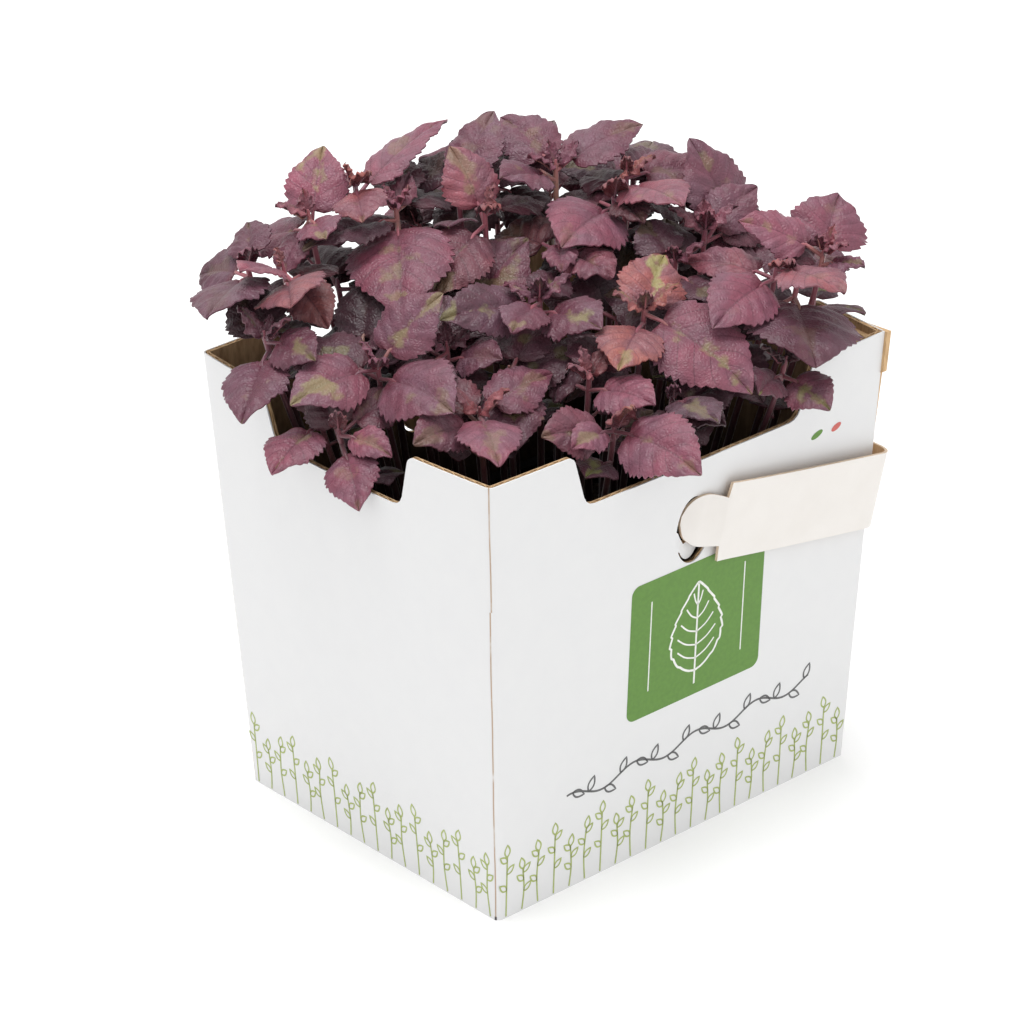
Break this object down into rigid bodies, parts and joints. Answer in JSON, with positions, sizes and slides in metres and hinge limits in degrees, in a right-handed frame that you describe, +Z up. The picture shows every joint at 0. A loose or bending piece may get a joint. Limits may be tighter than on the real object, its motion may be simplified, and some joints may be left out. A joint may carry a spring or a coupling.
{
  "type": "tray of microgreens",
  "caption": "Red shiso microgreens growing in a black tray inside a tall notched white carton with a card handle strap.",
  "frame": {"origin": "centre of the carton's base, on the surface that it stands on", "axes": "+Z up, +X towards the short wall that the strap is folded round, -Y out of the long printed wall"},
  "size_m": [0.1645, 0.1415, 0.1619],
  "materials": {
    "white_board": "satin",
    "cream_card": "matte",
    "black_plastic": "satin",
    "dark_medium": "matte",
    "red_leaf": "satin"
  },
  "bodies": {
    "root": {"carton": "white_board", "handle_strap": "cream_card", "growing_tray": "black_plastic", "growing_medium": "dark_medium", "stem_big_heart": "red_leaf", "stem_right_round": "red_leaf", "stem_right_star": "red_leaf", "stem_orange": "red_leaf", "stem_middle_heart": "red_leaf", "stem_top_cluster": "red_leaf", "stem_front_left": "red_leaf", "stem_front_middle": "red_leaf", "stem_front_right": "red_leaf", "stem_top_right": "red_leaf", "stem_left_rim": "red_leaf", "stem_left_edge": "red_leaf", "stem_left_round": "red_leaf", "stem_ribbed": "red_leaf", "stem_heart_side": "red_leaf", "stem_top_middle": "red_leaf", "stem_middle_pair": "red_leaf", "stem_back_spike": "red_leaf", "stem_left_back": "red_leaf", "stem_back_middle": "red_leaf", "stem_cup": "red_leaf", "stem_back_right": "red_leaf", "stem_middle_left": "red_leaf", "stem_middle_right": "red_leaf", "stem_left_pair": "red_leaf", "stem_front_arch": "red_leaf", "stem_right_dark": "red_leaf", "stem_right_tab": "red_leaf", "stem_rim_left": "red_leaf", "stem_left_inner": "red_leaf", "stem_back_inner": "red_leaf", "stem_fill_31": "red_leaf", "stem_fill_32": "red_leaf", "stem_fill_33": "red_leaf", "stem_fill_34": "red_leaf", "stem_fill_35": "red_leaf", "stem_fill_36": "red_leaf", "stem_fill_37": "red_leaf", "stem_fill_38": "red_leaf", "stem_fill_39": "red_leaf", "stem_fill_40": "red_leaf", "stem_fill_41": "red_leaf", "stem_fill_42": "red_leaf"}
  },
  "joints": []
}
